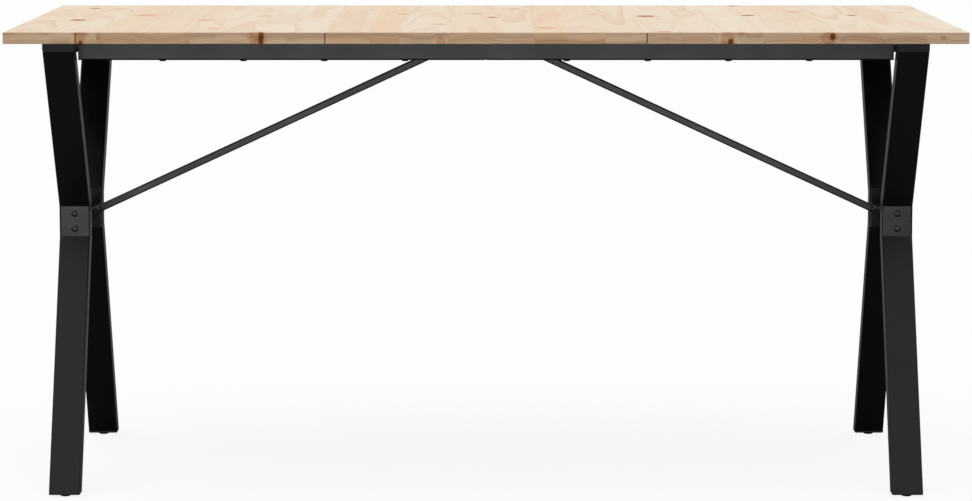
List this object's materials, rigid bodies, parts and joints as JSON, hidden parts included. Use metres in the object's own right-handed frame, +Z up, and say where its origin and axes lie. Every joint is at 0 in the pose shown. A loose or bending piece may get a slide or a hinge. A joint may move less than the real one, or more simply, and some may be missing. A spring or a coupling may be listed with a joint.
{
  "type": "dining table",
  "caption": "Dining table with a top of jointed pine panels on a bolted frame of black steel tube, with waisted legs, slanted braces and levelling feet.",
  "frame": {"origin": "on the floor under the middle of the tabletop", "axes": "+X along the table, +Y towards the rear, +Z up"},
  "size_m": [1.5, 0.8, 0.7501],
  "materials": {
    "lacquered_pine": "clear matt lacquer",
    "raw_beech": "raw, fluted",
    "black_powder_coat": "satin powder coat",
    "black_polyethylene": "moulded",
    "black_oxide_steel": "black oxide",
    "zinc_plated_steel": "zinc plate"
  },
  "bodies": {
    "table": {"brace_bolts": "black_oxide_steel", "brace_nuts": "black_oxide_steel", "centre_crossbar": "black_powder_coat", "crossbar_bolts": "black_oxide_steel", "crossbar_screws": "black_oxide_steel", "front_left_leg": "black_powder_coat", "front_left_leg_end_plug": "black_polyethylene", "front_rail_left": "black_powder_coat", "front_rail_right": "black_powder_coat", "front_rail_screws": "black_oxide_steel", "front_rail_sleeve": "black_powder_coat", "front_right_leg": "black_powder_coat", "front_right_leg_end_plug": "black_polyethylene", "left_brace": "black_powder_coat", "left_top_bar": "black_powder_coat", "left_waist_bridge": "black_powder_coat", "leg_top_bolts": "black_oxide_steel", "rail_end_bolts": "black_oxide_steel", "rear_left_leg": "black_powder_coat", "rear_left_leg_end_plug": "black_polyethylene", "rear_rail_left": "black_powder_coat", "rear_rail_right": "black_powder_coat", "rear_rail_screws": "black_oxide_steel", "rear_rail_sleeve": "black_powder_coat", "rear_right_leg": "black_powder_coat", "rear_right_leg_end_plug": "black_polyethylene", "right_brace": "black_powder_coat", "right_top_bar": "black_powder_coat", "right_waist_bridge": "black_powder_coat", "seam_dowels": "raw_beech", "tabletop_panel_centre": "lacquered_pine", "tabletop_panel_left": "lacquered_pine", "tabletop_panel_right": "lacquered_pine", "top_bar_end_caps": "black_polyethylene", "top_bar_screws": "black_oxide_steel", "waist_bolts": "black_oxide_steel"},
    "front_left_glide": {"front_left_glide_pad": "black_polyethylene", "front_left_glide_stud": "zinc_plated_steel"},
    "front_right_glide": {"front_right_glide_pad": "black_polyethylene", "front_right_glide_stud": "zinc_plated_steel"},
    "rear_left_glide": {"rear_left_glide_pad": "black_polyethylene", "rear_left_glide_stud": "zinc_plated_steel"},
    "rear_right_glide": {"rear_right_glide_pad": "black_polyethylene", "rear_right_glide_stud": "zinc_plated_steel"}
  },
  "joints": [
    {"name": "front_left_glide_adjust", "type": "slide", "parent": "table", "child": "front_left_glide", "axis": [0, 0, -1], "range_m": [0, 0.008]},
    {"name": "front_right_glide_adjust", "type": "slide", "parent": "table", "child": "front_right_glide", "axis": [0, 0, -1], "range_m": [0, 0.008]},
    {"name": "rear_left_glide_adjust", "type": "slide", "parent": "table", "child": "rear_left_glide", "axis": [0, 0, -1], "range_m": [0, 0.008]},
    {"name": "rear_right_glide_adjust", "type": "slide", "parent": "table", "child": "rear_right_glide", "axis": [0, 0, -1], "range_m": [0, 0.008]}
  ]
}
